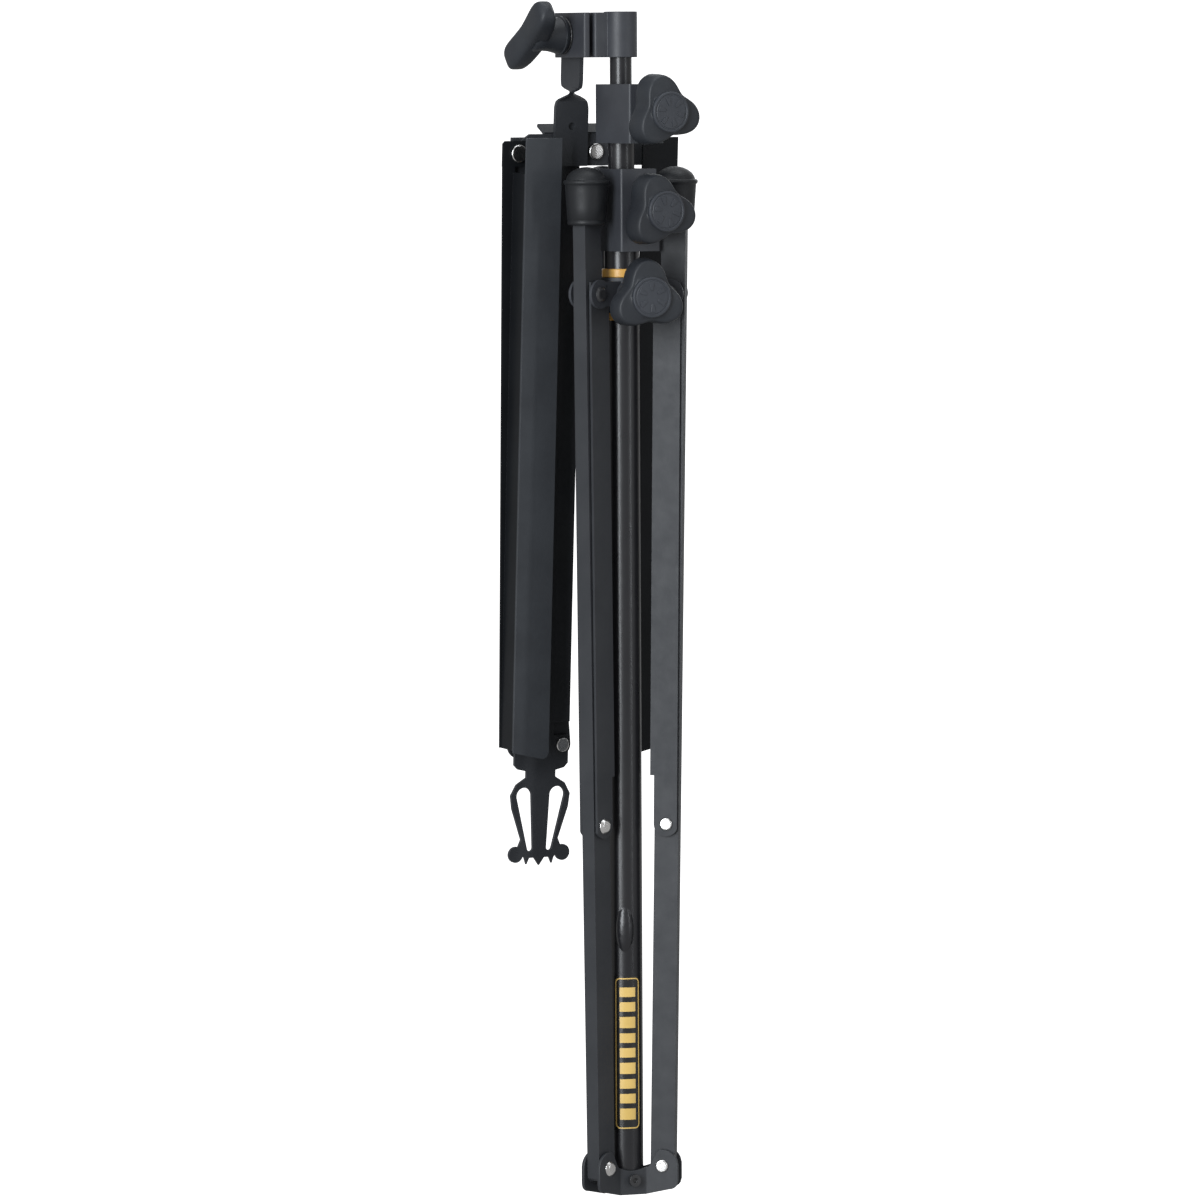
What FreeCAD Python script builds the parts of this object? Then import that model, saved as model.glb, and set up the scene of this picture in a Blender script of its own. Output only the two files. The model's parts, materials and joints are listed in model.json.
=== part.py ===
"""Folding three-section sheet-music stand, folded: column, tripod, clamps, tilter and hanging desk."""
import FreeCAD, Part
import math
import os

from FreeCAD import Vector as V

os.makedirs("parts", exist_ok=True)

# ---------------------------------------------------------------- driving dimensions, millimetres and degrees
LEG_AZIMUTHS = (320.0, 200.0, 80.0)
SECTOR_AZIMUTHS = (260.0, 20.0, 140.0)
FRONT_SECTOR = 260.0

TUBE_R = 8.0
TUBE_WALL = 0.95
TUBE_TOP = 462.0
TUBE_FOOT = 3.0
MID_R = 6.0
MID_BORE_R = 5.1
MID_TOP = 500.0
MID_FOOT = 138.0
SHAFT_R = 5.0
SHAFT_TOP = 533.0
SHAFT_FOOT = 152.0
FIT = 0.05

LEG_HALF_WIDTH = 3.5
LEG_HALF_DEPTH = 5.5
LEG_WALL = 1.2
LEG_PIVOT = (17.5, 13.2)
LEG_TOP = (24.5, 449.0)
LEG_MIDDLE_SHARE = 0.3575
LEG_END_R = 7.0
BRACE_TOP = (22.7, 409.0)
BRACE_INNER = 4.0
BRACE_OUTER = 5.2
BRACE_WEB_IN = 6.3
BRACE_WEB_OUT = 7.4
BRACE_END_R = 5.6
BRACE_WEB_START = 34.0
PIN_R = 2.0
PIN_HOLE_R = 2.06
RIVET_HEAD_R = 3.7

FOOT_Z = 440.0
FOOT_HEIGHT = 26.0
FOOT_BRIM_R = 10.4
FOOT_SKIRT_R = 8.6

COLLAR_Z = (400.4, 416.0)
COLLAR_R = 11.0
RING_R = 8.9
RING_LOW_Z = (396.8, 400.3)
RING_HIGH_Z = (416.1, 420.0)
EAR_INNER = 5.45
EAR_OUTER = 6.75
EAR_R = 6.5
SCREW_AZIMUTH = 216.0
SCREW_Z = 412.5

LOWER_BLOCK = dict(half=10.3, front=17.5, back=11.0, low=428.0, high=465.0)
UPPER_BLOCK = dict(half=9.0, front=23.0, back=8.0, low=476.5, high=503.0)
LOWER_STUD_Z = 446.3
UPPER_STUD_Z = 490.6
COLLAR_STUD_Z = 408.0
KNOB_LOBE_CENTRE = 11.6
KNOB_LOBE_R = 6.2
KNOB_DEPTH = 15.0
KNOB_NECK_R = 6.6
KNOB_CAP_R = 9.3
STUD_R = 3.0

BARREL_R = 7.5
BARREL_Z = (515.0, 535.6)
BOLT_Y = 17.0
BOLT_Z = 525.0
STRAP_X = -15.0
STRAP_HALF_WIDTH = 8.5
STRAP_THICK = 2.0
LEAN = 3.2

LEFT_PIVOT_X = -42.0
RIGHT_PIVOT_X = 32.0
PIVOT_Q = 53.0
LEDGE_END_Q = 327.0
LIP_WIDTH = 18.5
LIP_N = (-12.0, -11.0)
TAB_N = (-0.2, 0.8)
PLATE_N = (1.0, 2.5)
SPINE_X = -21.5
SPINE_EDGE_X = -7.0
SPINE_N = (2.5, 4.0)
BLOCK_Q = (319.0, 334.0)
STRIP_HEAD = ((-6.0, -6.0), (8.0, -6.0), (8.0, 4.4), (6.8, 5.6), (-4.8, 5.6), (-6.0, 4.4), (-6.0, -6.0))


# ---------------------------------------------------------------- helpers
def between(low, high, share):
    return (low[0] + (high[0] - low[0]) * share, low[1] + (high[1] - low[1]) * share)


LEG_MIDDLE = between(LEG_PIVOT, LEG_TOP, LEG_MIDDLE_SHARE)


def save(name, shape):
    shape.exportStep("parts/" + name + ".step")


def box(x0, x1, y0, y1, z0, z1):
    return Part.makeBox(x1 - x0, y1 - y0, z1 - z0, V(x0, y0, z0))


def rod(radius, start, end):
    start = V(*start)
    end = V(*end)
    return Part.makeCylinder(radius, (end - start).Length, start, end - start)


def cone(r0, r1, start, end):
    start = V(*start)
    end = V(*end)
    return Part.makeCone(r0, r1, (end - start).Length, start, end - start)


def tube(r_out, r_in, z0, z1):
    outer = Part.makeCylinder(r_out, z1 - z0, V(0, 0, z0))
    return outer.cut(Part.makeCylinder(r_in, z1 - z0 + 2, V(0, 0, z0 - 1)))


def outline(points, z0, height):
    """A prism along +Z over straight-sided points."""
    corners = [V(x, y, z0) for x, y in points]
    wire = Part.makePolygon(corners + [corners[0]])
    return Part.Face(wire).extrude(V(0, 0, height))


def turned(shape, azimuth):
    """A shape built pointing along +X, turned to an azimuth about the column."""
    copy = shape.copy()
    copy.rotate(V(0, 0, 0), V(0, 0, 1), azimuth)
    return copy


def fused(shapes):
    return shapes[0].fuse(shapes[1:]).removeSplitter()


def group(shapes):
    """Separate solids that share one node."""
    return Part.makeCompound(shapes)


def rounded(shape, radius, pick):
    """Fillet the edges that pick chooses."""
    edges = [edge for edge in shape.Edges if pick(edge)]
    return shape.makeFillet(radius, edges)


def upright(edge):
    ends = edge.Vertexes
    if len(ends) != 2:
        return False
    step = ends[0].Point - ends[1].Point
    return abs(step.x) < 1e-6 and abs(step.y) < 1e-6


# ---------------------------------------------------------------- column
def stud_hole(z):
    """A clear hole for a clamp stud, from the column's axis out to the front."""
    return rod(STUD_R + FIT, (0, 0, z), (0, -40, z))


def make_outer_tube():
    """Main tube, with the crimped bead that stops the leg collar and the middle tube."""
    body = tube(TUBE_R, TUBE_R - TUBE_WALL, TUBE_FOOT, TUBE_TOP)
    bead = Part.makeSphere(5.0)
    matrix = FreeCAD.Matrix()
    matrix.scale(0.55, 0.8, 2.3)
    bead = bead.transformGeometry(matrix)
    bead.translate(V(TUBE_R - 1.2, 0, 121.0))
    bead = bead.cut(Part.makeCylinder(TUBE_R - TUBE_WALL, 60, V(0, 0, 90)))
    body = fused([body, turned(bead, 240.0)])
    save("outer_tube", body.cut(stud_hole(LOWER_STUD_Z)))


def make_column_inside():
    plug_cap = Part.makeCylinder(TUBE_R, TUBE_FOOT, V(0, 0, 0))
    plug_stem = Part.makeCylinder(TUBE_R - TUBE_WALL, 12.0, V(0, 0, TUBE_FOOT))
    save("tube_end_plug", fused([plug_cap, plug_stem]))
    save("middle_tube", tube(MID_R, MID_BORE_R, MID_FOOT, MID_TOP).cut(stud_hole(UPPER_STUD_Z)))
    save("upper_shaft", tube(SHAFT_R, SHAFT_R - 1.0, SHAFT_FOOT, SHAFT_TOP))
    lower_sleeve = tube(TUBE_R - TUBE_WALL, MID_R + FIT, TUBE_TOP - 30, TUBE_TOP)
    lower_flange = tube(TUBE_R, MID_R + FIT, TUBE_TOP, LOWER_BLOCK["high"])
    bushing = fused([lower_sleeve, lower_flange])
    save("lower_sleeve_bushing", bushing.cut(stud_hole(LOWER_STUD_Z)))
    save("upper_sleeve_bushing", tube(MID_R, SHAFT_R + FIT, MID_TOP, UPPER_BLOCK["high"]))
    save("middle_tube_glide", tube(TUBE_R - TUBE_WALL - 0.05, MID_R, MID_FOOT + 2, MID_FOOT + 16))


def make_decal():
    half_angle = 49.0
    skin = Part.makeCylinder(TUBE_R + 0.14, 70.5, V(0, 0, 29.3), V(0, 0, 1), 2 * half_angle)
    skin = skin.cut(Part.makeCylinder(TUBE_R, 90, V(0, 0, 20)))
    save("decal_plate", turned(skin, 248.0 - half_angle))


# ---------------------------------------------------------------- tripod
def lay_along(shape, low, high):
    """Take a shape built up +Z from the origin, in the X-Z plane, onto the line low to high."""
    lean = math.degrees(math.atan2(high[0] - low[0], high[1] - low[1]))
    copy = shape.copy()
    copy.rotate(V(0, 0, 0), V(0, 1, 0), lean)
    copy.translate(V(low[0], 0, low[1]))
    return copy


def channel(half_width, wall, inner, outer, web_at_outer, z0, z1):
    """A U-channel up Z: X is radial, the web on its outer or its inner side."""
    body = box(inner, outer, -half_width, half_width, z0, z1)
    gap = half_width - wall
    if web_at_outer:
        return body.cut(box(inner - 1, outer - wall, -gap, gap, z0 - 1, z1 + 1))
    return body.cut(box(inner + wall, outer + 1, -gap, gap, z0 - 1, z1 + 1))


def round_end(body, radius, z_end, sign):
    """Trim the channel's end to a half round about the pivot at z 0 or at z_end."""
    block = box(-20, 20, -20, 20, min(z_end, z_end + sign * 20), max(z_end, z_end + sign * 20))
    disc = rod(radius, (0, -20, z_end), (0, 20, z_end))
    return body.cut(block.cut(disc))


def make_leg_parts():
    leg_length = math.dist(LEG_PIVOT, LEG_TOP)
    middle_at = math.dist(LEG_PIVOT, LEG_MIDDLE)
    leg = channel(LEG_HALF_WIDTH, LEG_WALL, -LEG_HALF_DEPTH, LEG_HALF_DEPTH, True, -LEG_END_R, leg_length)
    leg = round_end(leg, LEG_END_R, 0.0, -1)
    leg = leg.cut(rod(PIN_HOLE_R, (0, -20, 0), (0, 20, 0)))
    leg = leg.cut(rod(PIN_R, (0, -20, middle_at), (0, 20, middle_at)))
    leg = lay_along(leg, LEG_PIVOT, LEG_TOP)

    brace_length = math.dist(LEG_MIDDLE, BRACE_TOP)
    wall = BRACE_OUTER - BRACE_INNER
    brace = channel(BRACE_OUTER, wall, -BRACE_WEB_OUT, 5.0, False, -BRACE_END_R, brace_length + BRACE_END_R)
    web_cut = box(-20, -BRACE_WEB_IN + 0.8, -BRACE_INNER, BRACE_INNER, -20, BRACE_WEB_START)
    brace = brace.cut(web_cut)
    low_trim = box(-20, -BRACE_END_R, -20, 20, -20, BRACE_WEB_START - 12)
    brace = brace.cut(low_trim)
    brace = round_end(brace, BRACE_END_R, 0.0, -1)
    brace = round_end(brace, BRACE_WEB_OUT, brace_length, 1)
    brace = brace.cut(rod(PIN_HOLE_R, (0, -20, 0), (0, 20, 0)))
    brace = brace.cut(rod(PIN_R, (0, -20, brace_length), (0, 20, brace_length)))
    brace = lay_along(brace, LEG_MIDDLE, BRACE_TOP)

    x, z = LEG_MIDDLE
    reach = BRACE_OUTER + 0.1
    head = cone(RIVET_HEAD_R, 2.4, (x, reach, z), (x, reach + 1.5, z))
    tail = cone(3.1, 2.6, (x, -reach, z), (x, -reach - 1.1, z))
    middle_rivet = fused([rod(PIN_R, (x, -reach, z), (x, reach, z)), head, tail])

    foot = make_foot()
    pocket = box(-LEG_HALF_DEPTH, LEG_HALF_DEPTH, -LEG_HALF_WIDTH, LEG_HALF_WIDTH, 300, leg_length)
    foot = foot.cut(lay_along(pocket, LEG_PIVOT, LEG_TOP))

    for number, azimuth in enumerate(LEG_AZIMUTHS, start=1):
        save(f"leg_channel_{number}", turned(leg, azimuth))
        save(f"leg_brace_{number}", turned(brace, azimuth))
        save(f"leg_middle_rivet_{number}", turned(middle_rivet, azimuth))
        save(f"rubber_foot_{number}", turned(foot, azimuth))


def make_foot():
    """Rubber foot: a tapered skirt, a brim and a domed tread."""
    brim_z = FOOT_Z + FOOT_HEIGHT - 6.6
    dome_z = FOOT_Z + FOOT_HEIGHT
    skirt = Part.makeCone(FOOT_SKIRT_R, FOOT_BRIM_R - 0.7, brim_z - 2 - FOOT_Z, V(0, 0, FOOT_Z))
    flare = Part.makeCone(FOOT_BRIM_R - 0.7, FOOT_BRIM_R, 1.0, V(0, 0, brim_z - 2))
    brim = Part.makeCylinder(FOOT_BRIM_R, 1.0, V(0, 0, brim_z - 1))
    rise = dome_z - brim_z
    sphere_r = (FOOT_BRIM_R ** 2 + rise ** 2) / (2 * rise)
    dome = Part.makeSphere(sphere_r, V(0, 0, dome_z - sphere_r))
    dome = dome.common(Part.makeCylinder(FOOT_BRIM_R, 20, V(0, 0, brim_z)))
    foot = fused([skirt, flare, brim, dome])
    foot.translate(V(LEG_TOP[0], 0, 0))
    return foot


def make_hub():
    """Bottom bracket: a bent sheet with a pair of ears for each leg and a face plate between them."""
    x, z = LEG_PIVOT
    inner = LEG_HALF_WIDTH + 0.4
    outer = inner + 1.5
    ear_low = outline([(8.2, 1.5), (10.0, 0.0), (22.5, 0.0), (25.0, 4.0), (25.0, z), (8.2, z)], 0, 1.5)
    ear_low.rotate(V(0, 0, 0), V(1, 0, 0), 90)
    ear_low.translate(V(0, 1.5, 0))
    ear_top = rod(7.2, (x, 0, z), (x, 1.5, z))
    shoulder = box(8.2, x, 0, 1.5, z - 3, z + 1.5)
    ear = fused([ear_low, ear_top, shoulder])
    pieces = [tube(10.0, TUBE_R, 0.6, 11.0)]
    for azimuth in LEG_AZIMUTHS:
        for side in (-1, 1):
            plate = ear.copy()
            plate.translate(V(0, inner if side > 0 else -outer, 0))
            pieces.append(turned(plate, azimuth))
    for azimuth in SECTOR_AZIMUTHS:
        pieces.append(turned(box(8.6, 10.6, -5.2, 5.2, 0.6, 11.0), azimuth))
    hub = fused(pieces)
    hub = hub.cut(Part.makeCylinder(TUBE_R, 60, V(0, 0, -10)))
    for azimuth in LEG_AZIMUTHS:
        hub = hub.cut(turned(rod(PIN_R, (x, -20, z), (x, 20, z)), azimuth))
    hub = hub.cut(turned(rod(2.0, (7.0, 0, 7.0), (14.0, 0, 7.0)), FRONT_SECTOR))
    save("hub_bracket", hub)

    rivet = fused([
        rod(PIN_R, (x, -outer, z), (x, outer, z)),
        cone(3.6, 2.4, (x, outer, z), (x, outer + 1.4, z)),
        cone(3.1, 2.6, (x, -outer, z), (x, -outer - 1.1, z)),
    ])
    save("hub_rivets", group([turned(rivet, azimuth) for azimuth in LEG_AZIMUTHS]))

    socket = Part.Face(Part.makePolygon([
        V(11.6, 1.3 * math.cos(math.radians(60 * k)), 7.0 + 1.3 * math.sin(math.radians(60 * k)))
        for k in range(7)
    ])).extrude(V(3, 0, 0))
    screw = fused([rod(2.0, (TUBE_R + 0.05, 0, 7.0), (10.6, 0, 7.0)), rod(2.7, (10.6, 0, 7.0), (12.8, 0, 7.0))])
    save("hub_screw", turned(screw.cut(socket), FRONT_SECTOR))


def make_leg_collar():
    """Sliding collar: two ear plates for each brace, a clamp boss, and coloured rings above and below."""
    x, z = BRACE_TOP
    low, high = COLLAR_Z
    pieces = [Part.makeCylinder(COLLAR_R, high - low, V(0, 0, low))]
    for azimuth in LEG_AZIMUTHS:
        for side in (-1, 1):
            y0 = EAR_INNER if side > 0 else -EAR_OUTER
            arm = box(6.0, x, y0, y0 + EAR_OUTER - EAR_INNER, z - EAR_R + 1, z + EAR_R - 1)
            disc = rod(EAR_R, (x, y0, z), (x, y0 + EAR_OUTER - EAR_INNER, z))
            pieces.append(turned(fused([arm, disc]), azimuth))
    boss = rod(7.0, (4.0, 0, COLLAR_STUD_Z), (22.5, 0, COLLAR_STUD_Z))
    pieces.append(turned(boss, FRONT_SECTOR))
    collar = fused(pieces)
    collar = collar.cut(Part.makeCylinder(TUBE_R + FIT, 60, V(0, 0, low - 20)))
    collar = collar.cut(turned(rod(STUD_R + FIT, (4.0, 0, COLLAR_STUD_Z), (30.0, 0, COLLAR_STUD_Z)), FRONT_SECTOR))
    for azimuth in LEG_AZIMUTHS:
        collar = collar.cut(turned(rod(PIN_R, (x, -20, z), (x, 20, z)), azimuth))
    collar = collar.cut(turned(rod(1.5, (6.0, 0, SCREW_Z), (20.0, 0, SCREW_Z)), SCREW_AZIMUTH))
    save("leg_collar", collar)

    rivets = []
    for azimuth in LEG_AZIMUTHS:
        for side in (-1, 1):
            shank = rod(PIN_R, (x, side * EAR_INNER, z), (x, side * EAR_OUTER, z))
            head = cone(RIVET_HEAD_R, 2.4, (x, side * EAR_OUTER, z), (x, side * (EAR_OUTER + 1.3), z))
            rivets.append(turned(fused([shank, head]), azimuth))
    save("collar_rivets", group(rivets))
    save("slip_ring_upper", tube(RING_R, TUBE_R + FIT, *RING_HIGH_Z))
    save("slip_ring_lower", tube(RING_R, TUBE_R + FIT, *RING_LOW_Z))
    thread = rod(1.5, (8.6, 0, SCREW_Z), (COLLAR_R, 0, SCREW_Z))
    head = rod(2.1, (COLLAR_R, 0, SCREW_Z), (COLLAR_R + 1.2, 0, SCREW_Z))
    save("collar_screw", turned(fused([thread, head]), SCREW_AZIMUTH))


# ---------------------------------------------------------------- clamps
def make_clamp_block(name, size, bore_radius, stud_z):
    """Square clamp block on a tube. Its front right corner is scalloped where a folded foot passes."""
    block = box(-size["half"], size["half"], -size["front"], size["back"], size["low"], size["high"])
    block = rounded(block, 1.2, upright)
    block = block.cut(Part.makeCylinder(bore_radius, 80, V(0, 0, size["low"] - 20)))
    block = block.cut(stud_hole(stud_z))
    foot_angle = math.radians(LEG_AZIMUTHS[0])
    foot_centre = V(LEG_TOP[0] * math.cos(foot_angle), LEG_TOP[0] * math.sin(foot_angle), FOOT_Z - 1.5)
    block = block.cut(Part.makeCylinder(FOOT_BRIM_R + 0.45, FOOT_HEIGHT + 3.0, foot_centre))
    save(name, block)


def make_knob(number, azimuth, z, face, neck_end, tube_radius):
    """Three-lobed clamp knob about the axis along +X, its threaded stud, pressure shoe and cap."""
    lobes = []
    for k in range(3):
        angle = math.radians(90 + 120 * k + 10)
        y = KNOB_LOBE_CENTRE * math.cos(angle)
        dz = KNOB_LOBE_CENTRE * math.sin(angle)
        lobes.append(cone(KNOB_LOBE_R, KNOB_LOBE_R - 0.8, (face - KNOB_DEPTH, y, z + dz), (face - 1.0, y, z + dz)))
    core = cone(10.4, 9.8, (face - KNOB_DEPTH, 0, z), (face - 1.0, 0, z))
    neck = cone(KNOB_NECK_R, 8.2, (neck_end, 0, z), (face - KNOB_DEPTH, 0, z))
    grip = fused([core, neck] + lobes)
    grip = grip.cut(rod(STUD_R, (neck_end - 1, 0, z), (face - 6.0, 0, z)))
    save(f"clamp_knob_{number}", turned(grip, azimuth))
    stud = rod(STUD_R, (tube_radius + 1.3, 0, z), (face - 6.0, 0, z))
    save(f"clamp_stud_{number}", turned(stud, azimuth))
    shoe = rod(STUD_R - 0.2, (tube_radius + 0.25, 0, z), (tube_radius + 1.3, 0, z))
    save(f"pressure_shoe_{number}", turned(shoe, azimuth))
    cap = rod(KNOB_CAP_R, (face - 1.0, 0, z), (face, 0, z))
    save(f"knob_cap_{number}", turned(cap, azimuth))


# ---------------------------------------------------------------- head
def make_head():
    low, high = BARREL_Z
    barrel = Part.makeCylinder(BARREL_R, high - low, V(0, 0, low))
    arm = box(-13.9, -4.0, -1.0, 26.5, low, high - 0.4)
    arm = rounded(arm, 1.5, upright)
    head = fused([barrel, arm])
    head = head.cut(Part.makeCylinder(SHAFT_R, SHAFT_TOP - low + 1, V(0, 0, low - 1)))
    head = head.cut(Part.makeCylinder(6.2, 5, V(0, 0, high - 1.6)))
    head = head.cut(rod(3.0, (-20, BOLT_Y, BOLT_Z), (0, BOLT_Y, BOLT_Z)))
    save("head_barrel", head)
    cheek = box(-19.4, -16.1, -1.0, 26.5, low, high - 0.4)
    cheek = rounded(cheek, 1.2, upright)
    cheek = cheek.cut(rod(3.0, (-30, BOLT_Y, BOLT_Z), (0, BOLT_Y, BOLT_Z)))
    save("tilt_cheek", cheek)
    save("tilt_bolt", rod(3.0, (-36, BOLT_Y, BOLT_Z), (-4.2, BOLT_Y, BOLT_Z)))
    washer = rod(8.2, (-20.6, BOLT_Y, BOLT_Z), (-19.4, BOLT_Y, BOLT_Z))
    save("tilt_washer", washer.cut(rod(3.0, (-30, BOLT_Y, BOLT_Z), (0, BOLT_Y, BOLT_Z))))

    hub = cone(8.8, 6.4, (-20.7, BOLT_Y, BOLT_Z), (-33.0, BOLT_Y, BOLT_Z))
    wing = box(-43.0, -31.5, -21.5, 21.5, -7.0, 7.0)
    wing = rounded(wing, 3.5, lambda edge: True)
    wing.rotate(V(0, 0, 0), V(1, 0, 0), -36.0)
    wing.translate(V(0, BOLT_Y, BOLT_Z))
    knob = fused([hub, wing])
    save("wing_knob", knob.cut(rod(3.0 + FIT, (-37, BOLT_Y, BOLT_Z), (0, BOLT_Y, BOLT_Z))))


# ---------------------------------------------------------------- desk
def hang(shape):
    """Take a desk piece from its own plane (X across, Y behind, -Z down the desk) to where it hangs."""
    copy = shape.copy()
    copy.rotate(V(0, 0, 0), V(1, 0, 0), LEAN)
    copy.translate(V(0, BOLT_Y, BOLT_Z))
    return copy


def sheet_box(x0, x1, n, q0, q1):
    return box(x0, x1, n[0], n[1], -q1, -q0)


def pin(radius, x, n0, n1, q):
    return rod(radius, (x, n0, -q), (x, n1, -q))


def make_strap():
    """Tilt strap: its top lies in the fork, then it twists a quarter turn into the desk's plane."""
    half = STRAP_HALF_WIDTH
    t = STRAP_THICK / 2
    twist_from = 19.0
    twist_to = 34.0
    steps = 14
    top = fused([
        rod(half, (STRAP_X - t, 0, 0), (STRAP_X + t, 0, 0)),
        box(STRAP_X - t, STRAP_X + t, -half, half, -twist_from, 0),
    ])
    sections = []
    for k in range(steps + 1):
        share = k / steps
        turn = min(1.0, max(0.0, (share - 0.32) / 0.36))
        angle = -90.0 * turn
        spread = abs(2 * share - 1)
        waist = 2.8 + (half - 2.8) * math.sqrt(1 - (1 - spread) ** 2.4)
        ring = Part.makePolygon([
            V(-t, -waist, 0), V(t, -waist, 0), V(t, waist, 0), V(-t, waist, 0), V(-t, -waist, 0),
        ])
        ring.rotate(V(0, 0, 0), V(0, 0, 1), angle)
        ring.translate(V(STRAP_X, 0, -twist_from - (twist_to - twist_from) * share))
        sections.append(ring)
    twist = Part.makeLoft(sections, True, True)
    plate = box(STRAP_X - half, STRAP_X + half, -t, t, -59.0, -twist_to)
    plate = plate.cut(pin(1.7, STRAP_X, -5, 0.3, 41.0))
    strap = fused([top, twist, plate])
    strap = strap.cut(rod(3.0 + FIT, (STRAP_X - 5, 0, 0), (STRAP_X + 5, 0, 0)))
    save("desk_strap", hang(strap))


def make_desk_frame():
    low_q, high_q = 44.5, 59.0
    end_r = (high_q - low_q) / 2
    round_x = RIGHT_PIVOT_X + 8.0 - end_r
    plate = Part.Face(Part.makePolygon([
        V(-35.5, PLATE_N[0], -low_q), V(round_x, PLATE_N[0], -low_q), V(round_x, PLATE_N[0], -high_q),
        V(LEFT_PIVOT_X - 5.0, PLATE_N[0], -high_q), V(LEFT_PIVOT_X - 5.0, PLATE_N[0], -PIVOT_Q + 1.0),
        V(-35.5, PLATE_N[0], -low_q),
    ])).extrude(V(0, PLATE_N[1] - PLATE_N[0], 0))
    flange = box(-28, 26, PLATE_N[0] + 0.5, 9.0, -low_q - 0.9, -low_q + 0.6)
    flange.rotate(V(0, PLATE_N[0], -low_q), V(1, 0, 0), 28.0)
    plate = fused([plate, pin(end_r, round_x, PLATE_N[0], PLATE_N[1], low_q + end_r), flange])
    for x in (LEFT_PIVOT_X, RIGHT_PIVOT_X):
        plate = plate.cut(pin(2.5, x, -5, 9, PIVOT_Q))
    plate = plate.cut(pin(2.2, -1.5, -5, 9, 52.6))
    save("desk_base_plate", hang(plate))

    centre = fused([pin(2.2, -1.5, 1.0, 2.5, 52.6), pin(3.8, -1.5, -0.8, 1.0, 52.6)])
    save("desk_centre_rivet", hang(centre))

    pivots = []
    for x in (LEFT_PIVOT_X, RIGHT_PIVOT_X):
        pivots.append(fused([
            pin(2.5, x, -0.3, 2.5, PIVOT_Q),
            pin(4.0, x, -1.7, -0.3, PIVOT_Q),
            pin(3.6, x, 2.5, 3.8, PIVOT_Q),
        ]))
    save("ledge_pivot_rivets", hang(group(pivots)))


def crown_outline():
    """Half outline of the finial, from its neck down to the middle tooth, as (half width, q)."""
    return [
        (14.0, BLOCK_Q[0]), (14.0, BLOCK_Q[1] - 2), (12.0, BLOCK_Q[1]), (7.6, BLOCK_Q[1] + 1.0),
        (7.6, BLOCK_Q[1] + 4.0), (12.6, BLOCK_Q[1] + 7.0), (15.4, BLOCK_Q[1] + 12.0), (14.6, BLOCK_Q[1] + 18.0),
        (9.6, BLOCK_Q[1] + 32.5), (11.2, BLOCK_Q[1] + 36.2), (7.6, BLOCK_Q[1] + 41.0), (6.6, BLOCK_Q[1] + 44.0),
        (5.2, BLOCK_Q[1] + 41.0), (2.6, BLOCK_Q[1] + 41.0), (0.0, BLOCK_Q[1] + 44.6),
    ]


def make_spine():
    n0, n1 = SPINE_N
    half = crown_outline()
    right = [(SPINE_X + w, -q) for w, q in half]
    left = [(SPINE_X - w, -q) for w, q in reversed(half[:-1])]
    corners = [V(x, n0, z) for x, z in right + left]
    crown = Part.Face(Part.makePolygon(corners + [corners[0]])).extrude(V(0, n1 - n0, 0))
    balls = [pin(3.7, SPINE_X + side * 12.2, n0, n1, BLOCK_Q[1] + 39.2) for side in (-1, 1)]
    crown = fused([crown] + balls)
    for side in (-1, 1):
        top = (SPINE_X + side * 8.6, BLOCK_Q[1] + 12.4)
        low = (SPINE_X + side * 5.0, BLOCK_Q[1] + 36.4)
        slot = fused([
            pin(3.9, top[0], n0 - 1, n1 + 1, top[1]),
            pin(1.5, low[0], n0 - 1, n1 + 1, low[1]),
            teardrop(top, 3.9, low, 1.5, n0 - 1, n1 + 1),
        ])
        crown = crown.cut(slot)
    bar = sheet_box(SPINE_X - 6.0, SPINE_X + 6.0, SPINE_N, 46.0, BLOCK_Q[0] + 2)
    leaf = sheet_box(SPINE_X, SPINE_EDGE_X, SPINE_N, 73.0, BLOCK_Q[0] - 6)
    spine = fused([bar, leaf, crown])
    for x in (SPINE_X - 10.5, SPINE_X + 10.5):
        spine = spine.cut(pin(1.8, x, n0 - 1, n1 + 1, BLOCK_Q[0] + 4.5))
    save("desk_spine", hang(spine))


def teardrop(top, r_top, low, r_low, n0, n1):
    """The straight-sided body between two pins of different radius."""
    dx = low[0] - top[0]
    dq = low[1] - top[1]
    length = math.hypot(dx, dq)
    ax, aq = -dq / length, dx / length
    corners = [
        (top[0] + ax * r_top, top[1] + aq * r_top), (low[0] + ax * r_low, low[1] + aq * r_low),
        (low[0] - ax * r_low, low[1] - aq * r_low), (top[0] - ax * r_top, top[1] - aq * r_top),
    ]
    face = Part.makePolygon([V(x, n0, -q) for x, q in corners + [corners[0]]])
    return Part.Face(face).extrude(V(0, n1 - n0, 0))


def stay(top, low, n, half_width):
    """A flat stay with round ends, drilled at both ends."""
    body = fused([
        pin(half_width, top[0], n[0], n[1], top[1]),
        pin(half_width, low[0], n[0], n[1], low[1]),
        teardrop(top, half_width, low, half_width, n[0], n[1]),
    ])
    for x, q in (top, low):
        body = body.cut(pin(1.8, x, n[0] - 1, n[1] + 1, q))
    return body


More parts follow.
